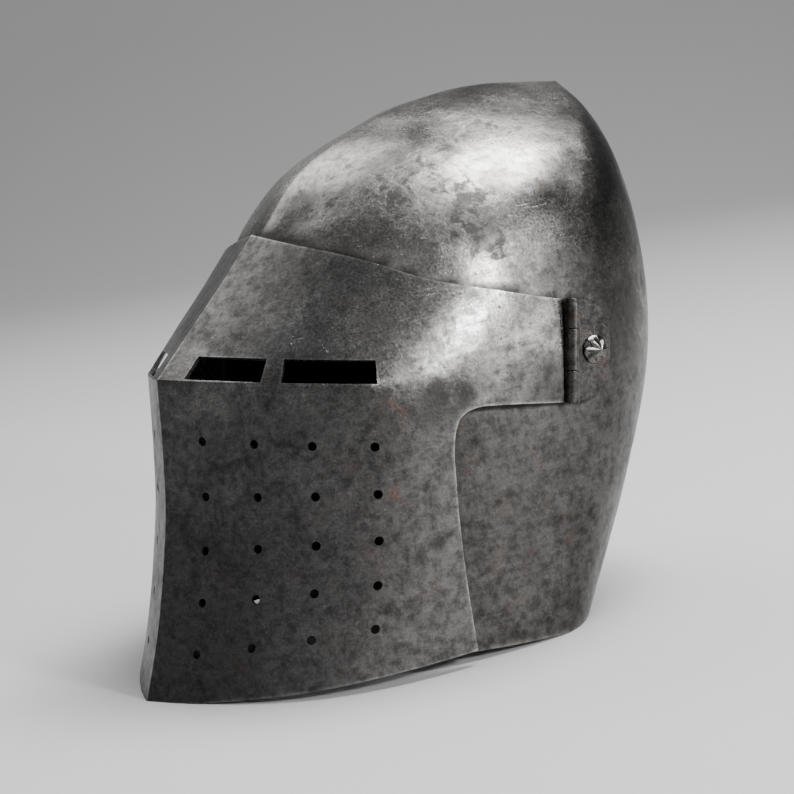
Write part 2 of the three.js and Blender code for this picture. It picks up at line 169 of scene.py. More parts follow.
# ---- materials -----------------------------------------------------------------------------------
def node(tree, kind, sockets=None, **settings):
    """Adds a shader node; a socket's value is a plain value or another node's output."""
    made = tree.nodes.new("ShaderNode" + kind)
    for name, value in settings.items():
        setattr(made, name, value)
    for name, value in (sockets or {}).items():
        if isinstance(value, bpy.types.NodeSocket):
            tree.links.new(value, made.inputs[name])
        else:
            made.inputs[name].default_value = value
    return made


def sums(tree, operation, a, b):
    return node(tree, "Math", {0: a, 1: b}, operation=operation).outputs[0]


def ramp(tree, value, low, high, to_low=0.0, to_high=1.0):
    """The value stretched from low..high to to_low..to_high, with soft ends."""
    sockets = {"Value": value, "From Min": low, "From Max": high, "To Min": to_low, "To Max": to_high}
    return node(tree, "MapRange", sockets, interpolation_type="SMOOTHSTEP").outputs["Result"]


def clouds(tree, vector, scale, detail=8, roughness=0.6, distortion=0.0):
    sockets = {"Vector": vector, "Scale": scale, "Detail": detail, "Roughness": roughness}
    return node(tree, "TexNoise", sockets | {"Distortion": distortion}).outputs["Fac"]


def blend_colour(tree, share, a, b):
    made = node(tree, "Mix", {"Factor": share}, data_type="RGBA")
    for socket, value in ((made.inputs[6], a), (made.inputs[7], b)):
        if isinstance(value, bpy.types.NodeSocket):
            tree.links.new(value, socket)
        else:
            socket.default_value = (*value, 1)
    return made.outputs[2]


def group(name, inputs, outputs):
    tree = bpy.data.node_groups.new(name, "ShaderNodeTree")
    for label, kind, value in inputs:
        made = tree.interface.new_socket(label, in_out="INPUT", socket_type="NodeSocket" + kind)
        if value is not None:
            made.default_value = value
    for label, kind in outputs:
        tree.interface.new_socket(label, in_out="OUTPUT", socket_type="NodeSocket" + kind)
    return tree, tree.nodes.new("NodeGroupInput").outputs, tree.nodes.new("NodeGroupOutput")


def worn_steel_group():
    """Old plate: bright and grey clouds, two depths of ragged patina, specks, scratches and rust, with
    painted shade where the plate is dulled, a painted shadow under the plates' edges, and rim wear that also
    paints a highlight.
    """
    tree, given, out = group(
        "worn_steel",
        [
            ("Vector", "Vector", None),
            ("Bright", "Color", (0.3, 0.295, 0.285, 1)),
            ("Dull", "Color", (0.12, 0.118, 0.115, 1)),
            ("Patina", "Float", 0.5),
            ("Stain", "Float", 0.0),
            ("Shade_dulling", "Float", 0.0),
            ("Rust", "Float", 0.3),
            ("Wear_and_glint", "Float", 0.0),
            ("Painted_seam_shadow", "Float", 0.0),
        ],
        [("Color", "Color"), ("Roughness", "Float"), ("Height", "Float")],
    )
    place = given["Vector"]
    wide = clouds(tree, place, 14, 5, 0.55, 0.6)
    middle = clouds(tree, place, 46, 9, 0.7, 0.5)
    small = clouds(tree, place, 190, 8, 0.72)
    grain = clouds(tree, place, 950, 4, 0.6)
    stretched = node(tree, "Mapping", {"Vector": place, "Rotation": (0.4, 0.9, 0.5), "Scale": (1, 1, 20)})
    scratches = ramp(tree, clouds(tree, stretched.outputs["Vector"], 60, 6, 0.75), 0.6, 0.7)

    # Where the plate is dulled it is darkened towards the dull colour, a painted shade.
    light = sums(tree, "MULTIPLY", ramp(tree, wide, 0.34, 0.6), ramp(tree, given["Shade_dulling"], 0, 1, 1, 0))
    base = blend_colour(tree, light, given["Dull"], given["Bright"])
    tone = ramp(tree, middle, 0.34, 0.64, 0.62, 1.2)
    tone = sums(tree, "MULTIPLY", tone, ramp(tree, small, 0.34, 0.64, 0.55, 1.45))
    drawn = node(tree, "Mapping", {"Vector": place, "Rotation": (0.25, 0, 0), "Scale": (1.6, 0.35, 2.2)})
    streaks = clouds(tree, drawn.outputs["Vector"], 170, 6, 0.7, 0.4)
    tone = sums(tree, "MULTIPLY", tone, ramp(tree, streaks, 0.32, 0.66, 0.87, 1.13))
    toned = node(tree, "VectorMath", {0: base, "Scale": tone}, operation="SCALE").outputs["Vector"]

    mottle = sums(tree, "ADD", sums(tree, "MULTIPLY", middle, 0.6), sums(tree, "MULTIPLY", small, 0.4))
    more = sums(tree, "ADD", given["Patina"], given["Stain"])
    over = sums(tree, "SUBTRACT", mottle, sums(tree, "SUBTRACT", 0.61, sums(tree, "MULTIPLY", more, 0.105)))
    calm = ramp(tree, given["Shade_dulling"], 0, 1, 1, 0.38)
    film = sums(tree, "MULTIPLY", ramp(tree, over, -0.11, 0.1), calm)
    crust = sums(tree, "MULTIPLY", ramp(tree, over, 0.0, 0.15), ramp(tree, small, 0.34, 0.56, 0.2, 1.0))
    crust = sums(tree, "MULTIPLY", crust, calm)
    spots = node(tree, "TexVoronoi", {"Vector": place, "Scale": 360, "Randomness": 1.0}).outputs["Distance"]
    size = sums(tree, "MULTIPLY", ramp(tree, over, -0.15, 0.02), ramp(tree, small, 0.48, 0.68, 0.0, 0.34))
    specks = ramp(tree, sums(tree, "SUBTRACT", size, spots), -0.03, 0.07)
    specks = sums(tree, "MULTIPLY", specks, ramp(tree, given["Shade_dulling"], 0, 1, 0.8, 0.15))
    # Patina crust and specks, and the painted shadow under the plates' edges.
    dark = sums(tree, "MAXIMUM", sums(tree, "MAXIMUM", crust, specks), given["Painted_seam_shadow"])

    rusty = ramp(tree, clouds(tree, place, 80, 7, 0.72, 0.8), 0.56, 0.66)
    rusty = sums(tree, "MULTIPLY", rusty, given["Rust"])
    shaded = node(tree, "VectorMath", {0: toned, "Scale": 0.36}, operation="SCALE").outputs["Vector"]
    filmed = blend_colour(tree, sums(tree, "MULTIPLY", film, 0.85), toned, shaded)
    coloured = blend_colour(tree, rusty, filmed, (0.19, 0.095, 0.07))
    darkened = blend_colour(tree, sums(tree, "MULTIPLY", dark, 0.85), coloured, (0.026, 0.025, 0.024))
    fine = ramp(tree, grain, 0.3, 0.7, 0.84, 1.14)
    grained = node(tree, "VectorMath", {0: darkened, "Scale": fine}, operation="SCALE").outputs["Vector"]
    # Rim wear: lighter steel at the edges, which also stands in for a painted highlight along them.
    wear_and_glint_share = sums(tree, "MULTIPLY", given["Wear_and_glint"], ramp(tree, small, 0.35, 0.6, 0.2, 1.0))
    rubbed_and_glinting = blend_colour(tree, wear_and_glint_share, grained, (0.55, 0.54, 0.52))

    rough = ramp(tree, middle, 0.3, 0.7, 0.33, 0.19)
    rough = sums(tree, "ADD", rough, ramp(tree, small, 0.3, 0.7, 0.07, -0.07))
    for share, amount in ((film, 0.1), (dark, 0.2), (given["Shade_dulling"], 0.1), (scratches, -0.06)):
        rough = sums(tree, "ADD", rough, sums(tree, "MULTIPLY", share, amount))
    rough = sums(tree, "ADD", rough, ramp(tree, grain, 0.3, 0.7, -0.04, 0.06))
    height = sums(tree, "MULTIPLY", clouds(tree, place, 70, 6, 0.6), 0.55)
    for share, amount in ((dark, -0.2), (scratches, -0.05), (grain, 0.05), (small, 0.16)):
        height = sums(tree, "ADD", height, sums(tree, "MULTIPLY", share, amount))
    tree.links.new(rubbed_and_glinting, out.inputs["Color"])
    tree.links.new(node(tree, "Clamp", {"Value": rough}).outputs[0], out.inputs["Roughness"])
    tree.links.new(height, out.inputs["Height"])
    return tree


def blot_group():
    """A ragged round area about one place, from 1 in its middle to 0."""
    tree, given, out = group(
        "blot",
        [
            ("Vector", "Vector", None),
            ("Ragged", "Float", 0.5),
            ("Centre", "Vector", None),
            ("Reach", "Float", 0.03),
        ],
        [("Amount", "Float")],
    )
    apart = node(tree, "VectorMath", {0: given["Vector"], 1: given["Centre"]}, operation="DISTANCE")
    share = sums(tree, "DIVIDE", apart.outputs["Value"], given["Reach"])
    share = sums(tree, "ADD", share, ramp(tree, given["Ragged"], 0.25, 0.75, 0.34, -0.34))
    tree.links.new(ramp(tree, share, 1.25, 0.1), out.inputs["Amount"])
    return tree


worn_steel = worn_steel_group()
blot = blot_group()


def blots(tree, place, ragged, surface, spots):
    """The sum of blots on a surface."""
    total = 0.0
    for side, around, height, reach, strength in spots:
        at = surface(around, height)
        spot = node(tree, "Group", node_tree=blot)
        tree.links.new(place, spot.inputs["Vector"])
        tree.links.new(ragged, spot.inputs["Ragged"])
        spot.inputs["Centre"].default_value = to_row((side * at.x, at.y, at.z))
        spot.inputs["Reach"].default_value = reach * MM
        total = sums(tree, "ADD", total, sums(tree, "MULTIPLY", spot.outputs["Amount"], strength))
    return total


def steel(
    name, bright, dull, patina, rust, rim_wear_and_glint, bump,
    surface=None, stains=(), rusts=(), shade_dulls=(), shade_dull_below=None, metallic=1.0,
):
    """Worn plate, darker and rougher low down as painted shade: two heights in the head's frame, where this
    is full and where there is none, are given for it.
    """
    material = bpy.data.materials.new(name)
    material.use_nodes = True
    tree = material.node_tree
    shader = tree.nodes["Principled BSDF"]
    shader.inputs["Metallic"].default_value = metallic
    place = node(tree, "TexCoord").outputs["Object"]
    ragged = clouds(tree, place, 95, 8, 0.72, 0.4)
    rim = node(tree, "Attribute", attribute_name="rim").outputs["Fac"]
    plate = node(tree, "Group", node_tree=worn_steel)
    plate.inputs["Bright"].default_value = (*bright, 1)
    plate.inputs["Dull"].default_value = (*dull, 1)
    plate.inputs["Patina"].default_value = patina
    tree.links.new(place, plate.inputs["Vector"])
    tree.links.new(sums(tree, "MULTIPLY", sums(tree, "POWER", rim, 4.0), rim_wear_and_glint), plate.inputs["Wear_and_glint"])
    # The painted shadow on the skull under the plates' edges.
    tree.links.new(node(tree, "Attribute", attribute_name="seam_shadow").outputs["Fac"], plate.inputs["Painted_seam_shadow"])
    if stains:
        tree.links.new(blots(tree, place, ragged, surface, stains), plate.inputs["Stain"])
    if rusts:
        patches = blots(tree, place, ragged, surface, rusts)
        tree.links.new(sums(tree, "ADD", patches, rust), plate.inputs["Rust"])
    else:
        plate.inputs["Rust"].default_value = rust
    # Painted shade: the plate is darker, and also rougher, low down and at the listed places.
    if shade_dull_below:
        up = node(tree, "VectorMath", {0: place, 1: LEAN @ Vector((0, 0, 1))}, operation="DOT_PRODUCT")
        low, high = [(LEAN @ Vector((0, 0, 1))).dot(ORIGIN) + z * MM for z in shade_dull_below]
        shade_dulling = ramp(tree, up.outputs["Value"], low, high, 1, 0)
        if shade_dulls:
            shade_dulling = sums(tree, "MAXIMUM", shade_dulling, blots(tree, place, ragged, surface, shade_dulls))
        tree.links.new(shade_dulling, plate.inputs["Shade_dulling"])
    relief = node(tree, "Bump", {"Strength": bump, "Distance": 0.0012, "Height": plate.outputs["Height"]})
    tree.links.new(plate.outputs["Color"], shader.inputs["Base Color"])
    tree.links.new(plate.outputs["Roughness"], shader.inputs["Roughness"])
    tree.links.new(relief.outputs["Normal"], shader.inputs["Normal"])
    return material


# Each blot: its side (1 left, -1 right), how far round from the front (1 is the side line, 2 the
# back), its height and its reach in mm, and its strength.
SKULL_STAINS = [
    (1, 0.5, 80, 30, 1.3), (1, 0.7, 70, 20, 1.1), (1, 1.0, 90, 25, 0.7), (1, 0.4, 100, 25, 0.7),
    (1, 0.1, 80, 25, 0.7), (1, 0.5, 130, 25, 0.9), (1, 0.8, 130, 30, 0.9),
    (1, 1.1, 20, 50, 0.6), (1, 0.9, -50, 55, 0.45), (1, 1.5, 60, 45, 0.6), (1, 1.5, -40, 40, 0.5),
    (-1, 0.8, 70, 35, 0.9), (-1, 0.4, 110, 30, 0.7), (-1, 1.5, -20, 50, 0.6),
]
# Painted shade: places darkened and made rougher, on the sides behind the face and at the back.
SKULL_SHADE_DULLS = [(1, 1.1, 10, 75, 1.0), (-1, 1.1, 10, 75, 1.0), (1, 2.0, 20, 80, 0.7)]
VISOR_STAINS = [
    (1, 0.6, -10, 25, 1.5), (1, 0.4, 30, 20, 1.5), (1, 0.2, 50, 25, 0.9), (1, 0.5, 20, 20, 0.8),
    (1, 0.9, 0, 15, 1.0), (1, 0.1, -110, 30, 0.8), (1, 0.2, -120, 30, 0.8), (1, 0.4, -90, 30, 0.6),
    (-1, 0.4, 30, 30, 0.9), (-1, 0.5, -60, 35, 0.7), (-1, 0.1, -100, 35, 0.7),
]
# Painted shade: places on the brow above the sight darkened and made rougher.
VISOR_SHADE_DULLS = [
    (1, 0.6, 20, 20, 0.5), (1, 0.1, 50, 50, 0.9), (-1, 0.1, 50, 50, 0.9),
    (1, 0.4, 40, 35, 0.7), (-1, 0.4, 40, 35, 0.7),
]
VISOR_RUST = [(1, 0.5, -10, 10, 0.8), (1, 0.5, -40, 20, 0.6), (-1, 0.5, -60, 20, 0.5)]


def skull_material():
    return steel(
        "skull_steel", (0.35, 0.34, 0.325), (0.075, 0.072, 0.069), 0.5, 0.14, 0.4, 0.4,
        skull_point, SKULL_STAINS, shade_dulls=SKULL_SHADE_DULLS, shade_dull_below=(-30, 30),
    )


def visor_material():
    return steel(
        "visor_steel", (0.25, 0.244, 0.238), (0.105, 0.102, 0.1), 0.45, 0.12, 0.5, 0.4,
        visor_point, VISOR_STAINS, VISOR_RUST, VISOR_SHADE_DULLS, shade_dull_below=(-30, 0),
    )


def hinge_material():
    return steel("hinge_iron", (0.05, 0.044, 0.038), (0.026, 0.022, 0.019), 0.6, 0.3, 0.12, 0.5)


def leaf_material():
    return steel("leaf_steel", (0.05, 0.048, 0.045), (0.032, 0.03, 0.028), 0.6, 0.2, 0.1, 0.6)


def rivet_material():
    return steel("rivet_iron", (0.2, 0.193, 0.183), (0.12, 0.115, 0.108), 0.2, 0.08, 0.2, 0.08)


def shade_black_inside_material():
    """The rough dark iron inner face, painted near black for the shade inside the helmet; never polished."""
    return steel(
        "shade_black_inside", (0.03, 0.028, 0.027), (0.014, 0.013, 0.012), 0.6, 0.3, 0.0, 0.5, metallic=0.4,
    )


def paper_material():
    material = bpy.data.materials.new("pale_floor")
    material.use_nodes = True
    tree = material.node_tree
    shader = tree.nodes["Principled BSDF"]
    shader.inputs["Roughness"].default_value = 0.85
    place = node(tree, "TexCoord").outputs["Object"]
    tint = blend_colour(tree, clouds(tree, place, 3, 3), (0.47, 0.47, 0.47), (0.5, 0.5, 0.5))
    tree.links.new(tint, shader.inputs["Base Color"])
    return material


# ---- curves --------------------------------------------------------------------------------------
def lerp(a, b, t):
    return a + (b - a) * t


def clamp(t, low=0.0, high=1.0):
    return max(low, min(high, t))


def smoothstep(x, low, high):
    t = clamp((x - low) / (high - low))
    return t * t * (3 - 2 * t)


def through(rows):
    """A smooth curve through (x, y) rows, as a function of x."""
    xs, ys = zip(*rows)
    last = len(rows) - 1
    slopes = [(ys[i + 1] - ys[i]) / (xs[i + 1] - xs[i]) for i in range(last)]

    def tangent(i):
        if i in (0, last):
            return slopes[min(i, last - 1)]
        before, after = xs[i] - xs[i - 1], xs[i + 1] - xs[i]
        return (slopes[i - 1] * after + slopes[i] * before) / (before + after)

    tangents = [tangent(i) for i in range(last + 1)]

    def at(x):
        i = 0
        while i < last - 1 and x > xs[i + 1]:
            i += 1
        step = xs[i + 1] - xs[i]
        t = (x - xs[i]) / step
        t2, t3 = t * t, t * t * t
        ends = (2 * t3 - 3 * t2 + 1) * ys[i] + (3 * t2 - 2 * t3) * ys[i + 1]
        return ends + step * ((t3 - 2 * t2 + t) * tangents[i] + (t3 - t2) * tangents[i + 1])

    return at


def straight(rows):
    """A broken line through (x, y) rows, as a function of x."""

    def at(x):
        i = 0
        while i < len(rows) - 2 and x > rows[i + 1][0]:
            i += 1
        (x0, y0), (x1, y1) = rows[i], rows[i + 1]
        return lerp(y0, y1, (x - x0) / (x1 - x0))

    return at


def bezier(a, b, c, d, t):
    s = 1 - t
    return a * (s * s * s) + b * (3 * s * s * t) + c * (3 * s * t * t) + d * (t * t * t)


def section(front, side, back, full_front, full_side, ridge, u):
    """Half a level section: u is 0 on the front line, 1 on the side line and 2 on the back line."""
    if u <= 1:
        reach = full_front * side.x
        lean = Vector((reach * math.cos(ridge), front.y + reach * math.sin(ridge), front.z))
        turn = Vector((side.x, side.y - full_side * (side.y - front.y), side.z))
        return bezier(front, lean, turn, side, u)
    turn = Vector((side.x, lerp(side.y, back.y, ROUND), side.z))
    return bezier(side, turn, Vector((ROUND * side.x, back.y, back.z)), back, u - 1)


# Each row: level, then the front line's y and z, the side line's x, y and z, the back line's y and
# z, and how full the front and the side are.
SKULL_ROWS = [
    (-160, -133, -160, 98.5, -26, -160, 20, -160, 0.7, 0.62),
    (-120, -135, -120, 101.5, -20, -120, 35, -120, 0.7, 0.62),
    (-80, -137, -80, 104, -14, -80, 53, -80, 0.7, 0.62),
    (-40, -138, -40, 105.5, -8, -40, 68, -40, 0.7, 0.62),
    (0, -137, 0, 106, -4, 0, 79.5, 0, 0.68, 0.62),
    (40, -130, 40, 103.5, -3, 40, 81.5, 40, 0.66, 0.6),
    (75, -114.5, 75, 96.5, -1, 75, 75.5, 75, 0.67, 0.58),
    (100, -94.5, 99.5, 86, 5, 95, 71.5, 92, 0.59, 0.56),
    (120, -67, 117.5, 69, 17, 113, 66.5, 110, 0.5, 0.55),
    (135, -30, 134, 46, 33, 128, 61, 126, 0.54, 0.55),
    (145, 15, 143.5, 21, 46, 139, 57.5, 138.5, 0.55, 0.55),
    (150, 56, 146, 0, 56, 146, 56, 146, 0.55, 0.55),
]
ROUND = 0.5523
SKULL_RIDGE = math.radians(9)
skull_line = [through([(row[0], row[k]) for row in SKULL_ROWS]) for k in range(1, 10)]

VISOR_RIDGE = math.radians(18)
face_y = through([
    (-170, -187), (-150, -182.5), (-121, -177), (-90, -173.5), (-60, -172), (-30, -173.5), (0, -176),
])
brow_y = through([(0, -176), (20, -160.5), (45, -141), (67, -125), (90, -108)])
FACE_SLOPE = face_y(0) - face_y(-1)
BROW_SLOPE = brow_y(1) - brow_y(0)
visor_head = through([
    (0, 67), (0.16, 62), (0.28, 58.5), (0.4, 54), (0.55, 47), (0.74, 42), (0.92, 37.5), (1, 36.5),
])
visor_foot = through([(0, -1.2), (0.07, -0.6), (0.15, 1), (0.36, 3.8), (0.52, 5.6), (0.79, 7.1), (1, 7.5)])
skull_foot = through([(0, 6), (0.7, 5.6), (0.86, 3.3), (1, 1), (1.15, -0.4), (1.4, -1.2), (2, -1.2)])


def skull_point(u, level):
    front_y, front_z, side_x, side_y, side_z, back_y, back_z, full_front, full_side = [
        line(level) for line in skull_line
    ]
    front = Vector((0, front_y, front_z))
    side = Vector((side_x, side_y, side_z))
    back = Vector((0, back_y, back_z))
    return section(front, side, back, full_front, full_side, SKULL_RIDGE, u)


def visor_point(u, z):
    grown = STANDOFF + PLATE
    brow = smoothstep(z, 0, 80)
    melt = 12 * smoothstep(u, 0.44, 0.62)  # the fold under the sight melts away beside it
    face = face_y(z) if z < 0 else face_y(0) + z * FACE_SLOPE
    above = brow_y(z) if z > 0 else brow_y(0) + z * BROW_SLOPE
    front = Vector((0, (face + above + math.hypot(face - above, melt)) / 2, z))
    side = Vector((skull_line[2](z) + grown, skull_line[3](z), z))
    back = Vector((0, skull_line[5](z) + grown, z))
    ridge = VISOR_RIDGE * (1 - 0.25 * brow)
    return section(front, side, back, lerp(0.99, 0.68, brow), lerp(0.52, 0.56, brow), ridge, u)


def floor_z(y):
    return CHIN.z + (y - CHIN.y) * math.tan(REST_PITCH)


def foot_z(at, rise, u):
    """The height where a surface ends at its foot, `rise` over the floor."""
    z = -130
    for _ in range(8):
        z = floor_z(at(u, z).y) + rise
    return z


def u_at_y(at, y, z):
    """Where a section at height z reaches as far back as y."""
    low, high = 0.0, 1.6
    for _ in range(18):
        middle = (low + high) / 2
        if at(middle, z).y < y:
            low = middle
        else:
            high = middle
    return (low + high) / 2


def u_at_arc(arc, z):
    """Where the visor's section at height z is `arc` millimetres from its ridge."""
    u, run, last, step = 0.0, 0.0, visor_point(0, z), 0.01
    while run < arc:
        u += step
        point = visor_point(u, z)
        length = (point - last).length
        run += length
        last = point
    return u - step * (run - arc) / length if arc > 0 else 0.0


# ---- sheet metal ---------------------------------------------------------------------------------
def lattice(columns, rows):
    """A flat grid whose vertices say their column in x and their row in y."""
    mesh = bmesh.new()
    bmesh.ops.create_grid(mesh, x_segments=columns, y_segments=rows, size=1)
    for v in mesh.verts:
        v.co = (round((v.co.x + 1) / 2 * columns), round((v.co.y + 1) / 2 * rows), 0)
    return mesh


def cut_cells(mesh, gone):
    """Removes the cells whose middle (column, row) is in an open place."""
    faces = [f for f in mesh.faces if gone(*f.calc_center_median().xy)]
    bmesh.ops.delete(mesh, geom=faces, context="FACES")


HEART = Vector((0, -30, 0))  # every dent sinks towards this place inside the head space
DENTS = {"skull": {"depth": 0.45, "size": 26}, "visor": {"depth": 0.35, "size": 24}}


def hammered(point, depth, size):
    """The point, sunk by up to `depth` where a hammer has been."""
    inward = HEART - point
    wave = 0.5 + 0.5 * noise.noise(point / size) + 0.2 * noise.noise(point / (0.35 * size))
    return point + inward.normalized() * (depth * clamp(wave))


def whole(mesh):
    """Mirrors a left half over the middle plane, welds it and turns its faces outwards."""
    half = mesh.verts[:] + mesh.edges[:] + mesh.faces[:]
    bmesh.ops.mirror(mesh, geom=half, merge_dist=0.02, axis="X")
    bmesh.ops.remove_doubles(mesh, verts=mesh.verts, dist=0.02)
    bmesh.ops.dissolve_degenerate(mesh, dist=0.01, edges=mesh.edges)
    bmesh.ops.recalc_face_normals(mesh, faces=mesh.faces)
    foremost = min(mesh.faces, key=lambda f: f.calc_center_median().y)
    if foremost.normal.y > 0:
        bmesh.ops.reverse_faces(mesh, faces=mesh.faces)


def tree_of(points):
    tree = kdtree.KDTree(len(points))
    for index, point in enumerate(points):
        tree.insert(point, index)
    tree.balance()
    return tree


def mark_rim(mesh, reach):
    """Writes how near each point is to an edge of the sheet that isn't bored, for the wear there and the
    highlight painted along it.
    """
    rim = mesh.verts.layers.float.new("rim")
    bored = mesh.verts.layers.float.get("bored")
    edge_points = {v for e in mesh.edges if e.is_boundary for v in e.verts if not (bored and v[bored])}
    tree = tree_of([v.co for v in edge_points])
    for v in mesh.verts:
        v[rim] = clamp(1 - tree.find(v.co)[2] / reach) if edge_points else 0


def piece(name, mesh, body, slot, nodes, *materials):
    """Puts a finished mesh, still in the head's frame, into the scene."""
    bmesh.ops.transform(mesh, matrix=HEAD_TO_ROW, verts=mesh.verts)
    data = bpy.data.meshes.new(name)
    mesh.to_mesh(data)
    mesh.free()
    data.shade_smooth()
    for material in materials:
        data.materials.append(material)
    made = bpy.data.objects.new(name, data)
    bpy.context.collection.objects.link(made)
    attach(made, body)
    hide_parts(*nodes)
    return made


def make_wall_real(made):
    """Applies the wall, and flattens what it would push into the floor."""
    view = bpy.context.evaluated_depsgraph_get()
    thick = bpy.data.meshes.new_from_object(made.evaluated_get(view))
    made.modifiers.clear()
    made.data = thick
    for v in thick.vertices:
        v.co.z = max(v.co.z, 0)


def thicken(made, thickness, offset, rounding):
    """Gives a sheet its thickness, and its edges a small round."""
    wall = made.modifiers.new("wall", "SOLIDIFY")
    wall.thickness = thickness * MM
    wall.offset = offset
    wall.use_even_offset = True
    wall.use_quality_normals = True
    wall.material_offset = len(made.data.materials) - 1  # a second material is for the inner face
    make_wall_real(made)
    edge = made.modifiers.new("edge", "BEVEL")
    edge.width = rounding * MM
    edge.segments = 2
    edge.limit_method = "ANGLE"
    edge.angle_limit = math.radians(50)
    shading = made.modifiers.new("shading", "WEIGHTED_NORMAL")
    shading.keep_sharp = False


# ---- skull ---------------------------------------------------------------------------------------
# The face opening: how far back its side is at each height, and how high its arch is at each y.
opening_side = through([(-150, -80.5), (-122, -82.5), (-74, -89.5), (-25, -94), (11, -97.2), (33.4, -104.7)])
opening_arch = through([(-129, 50.6), (-120, 47.5), (-112.8, 43), (-104.7, 33.4)])
OPENING_CORNER = (-104.7, 33.4)
SKULL_COLUMNS = {"opening": 36, "side": 68, "back": 136}
SKULL_ARCH_ROW, SKULL_SHOULDER_ROW, SKULL_TOP_ROW = 70, 80, 148
SHOULDER = 75  # from this level up, each row of the mesh keeps to one level all round
ARCH_MIDDLE_Y = -127.4
skull_levels = straight([
    (SKULL_ARCH_ROW, 0), (SKULL_SHOULDER_ROW, SHOULDER), (92, 100), (105, 120), (120, 135), (136, 145),
    (SKULL_TOP_ROW, 150),
])


def arch_place(share):
    """The arch's point (u, z), from the middle of the brow (0) to the opening's corner (1)."""
    y = lerp(ARCH_MIDDLE_Y, OPENING_CORNER[0], share)
    z = opening_arch(y)
    return u_at_y(skull_point, y, z) if share > 0 else 0.0, z


def make_skull(material, inside):
    columns, rows = SKULL_COLUMNS["back"], SKULL_TOP_ROW
    open_columns, side_column = SKULL_COLUMNS["opening"], SKULL_COLUMNS["side"]
    mesh = lattice(columns, rows)
    cut_cells(mesh, lambda i, j: i < open_columns and j < SKULL_ARCH_ROW)
    arch = [arch_place(i / open_columns) for i in range(open_columns + 1)]
    corner_u = arch[-1][0]
    edge = {}
    for j in range(SKULL_ARCH_ROW + 1):
        low = foot_z(skull_point, skull_foot(corner_u), corner_u)
        z = lerp(low, OPENING_CORNER[1], j / SKULL_ARCH_ROW)
        edge[j] = u_at_y(skull_point, opening_side(z), z)
    for v in mesh.verts:
        i, j = round(v.co.x), round(v.co.y)
        from_u = edge.get(j, corner_u)
        if i <= open_columns:
            u = arch[i][0] if j >= SKULL_ARCH_ROW else from_u
        elif i <= side_column:
            u = lerp(from_u, 1, (i - open_columns) / (side_column - open_columns))
        else:
            u = lerp(1, 2, (i - side_column) / (columns - side_column))
        arch_z = arch[i][1] if i <= open_columns else OPENING_CORNER[1]
        if j <= SKULL_ARCH_ROW:
            level = lerp(foot_z(skull_point, skull_foot(u), u), arch_z, j / SKULL_ARCH_ROW)
        elif j <= SKULL_SHOULDER_ROW:
            up = (j - SKULL_ARCH_ROW) / (SKULL_SHOULDER_ROW - SKULL_ARCH_ROW)
            level = lerp(arch_z, SHOULDER, up)
        else:
            level = skull_levels(j)
        point = skull_point(u, level)
        calm = smoothstep(j, 0, 12) * (1 - smoothstep(j, 132, 147))
        v.co = hammered(point, DENTS["skull"]["depth"] * calm, DENTS["skull"]["size"])
    for v in mesh.verts:
        if abs(v.co.x) < 0.01:
            v.co.x = 0
    whole(mesh)
    mark_rim(mesh, 5)
    made = piece("skull_shell", mesh, "skull_body", "skull_steel", ["skull"], material, inside)
    thicken(made, PLATE, -1, 0.3)
    return made


# ---- visor ---------------------------------------------------------------------------------------
FINE = 4  # cells to each step of the layout below
# Distances from the ridge along the sheet; the arm's columns go by how far back they are.
VISOR_ARCS = [
    0, 2.5, 13, 19.5, 24.5, 29.5, 38.75, 48, 53, 58, 67.25, 76.5, 81.5, 86.5, 95.75, 105, 110, 115,
]
LAST_ARC = len(VISOR_ARCS) - 1
# Each column's u at the sight's sill and at its head, for the columns at its windows' ends and beside
# them.
SIGHT_ENDS = {
    0: (0, 0), 1: (0.01, 0.01), 2: (0.05, 0.05), 8: (0.21, 0.197),
    10: (0.255, 0.235), 16: (0.478, 0.452), 17: (0.5, 0.475),
}
SIGHT_COLUMNS = [(2, 8), (10, 16)]
ARM_YS = [-73.7, -68.8, -64, -59, -51.5, -44.3, -37.1, -30, -22.8]
REAR_COLUMN = 21
REAR_STEP = 5  # mm of sheet to each column behind the last arc
ARM_END = REAR_COLUMN + len(ARM_YS) - 1
HOLE_COLUMNS = [4, 8, 12, 16]
HOLE_ROWS = [20, 16, 12, 8, 4]
ROWS = [("foot", 0, 0), ("foot", 0, 6), ("foot", 0, 11.5)]
for r in reversed(range(HOLE["rows"])):
    ROWS += [("hole", r, -5), ("hole", r, 0), ("hole", r, 5)]
    ROWS += [("hole", r - 0.5, 0)] if r else []
ROWS += [("level", z, 0) for z in (-16, HINGE["foot"], -5, -1, 0, SIGHT["sill"], 4.3, 7.7, SIGHT["head"])]
ROWS += [("head", step / 7, 0) for step in range(1, 8)]
ARM_ROW, SILL_ROW, HEAD_ROW, TOP_ROW = 23, 27, 30, len(ROWS) - 1

# The rear edge under the arm, its rounded corner, and the arm's lower edge.
rear_y = through([
    (-150, -60), (-121.8, -66.7), (-97, -72), (-74, -76), (-43, -79.5),
    (-27, -80.4), (-19.3, -79.3), (-15, -77.3), (-12.2, -73.7),
])
arm_low = through([(-73.7, -12.2), (-69.1, -10.7), (-64, -10.1), (-60, -10), (-22, -10)])


def sight_u(column, z):
    rows = sorted(SIGHT_ENDS.items())
    t = clamp((z - SIGHT["sill"]) / (SIGHT["head"] - SIGHT["sill"]))
    return straight([(at, lerp(sill, head, t)) for at, (sill, head) in rows])(column)


def hole_slope(row):
    """How far down the breath holes a row lies, from 0 to 1."""
    kind, value, _ = row
    return {"foot": 1, "hole": value / (HOLE["rows"] - 1)}.get(kind, 0)


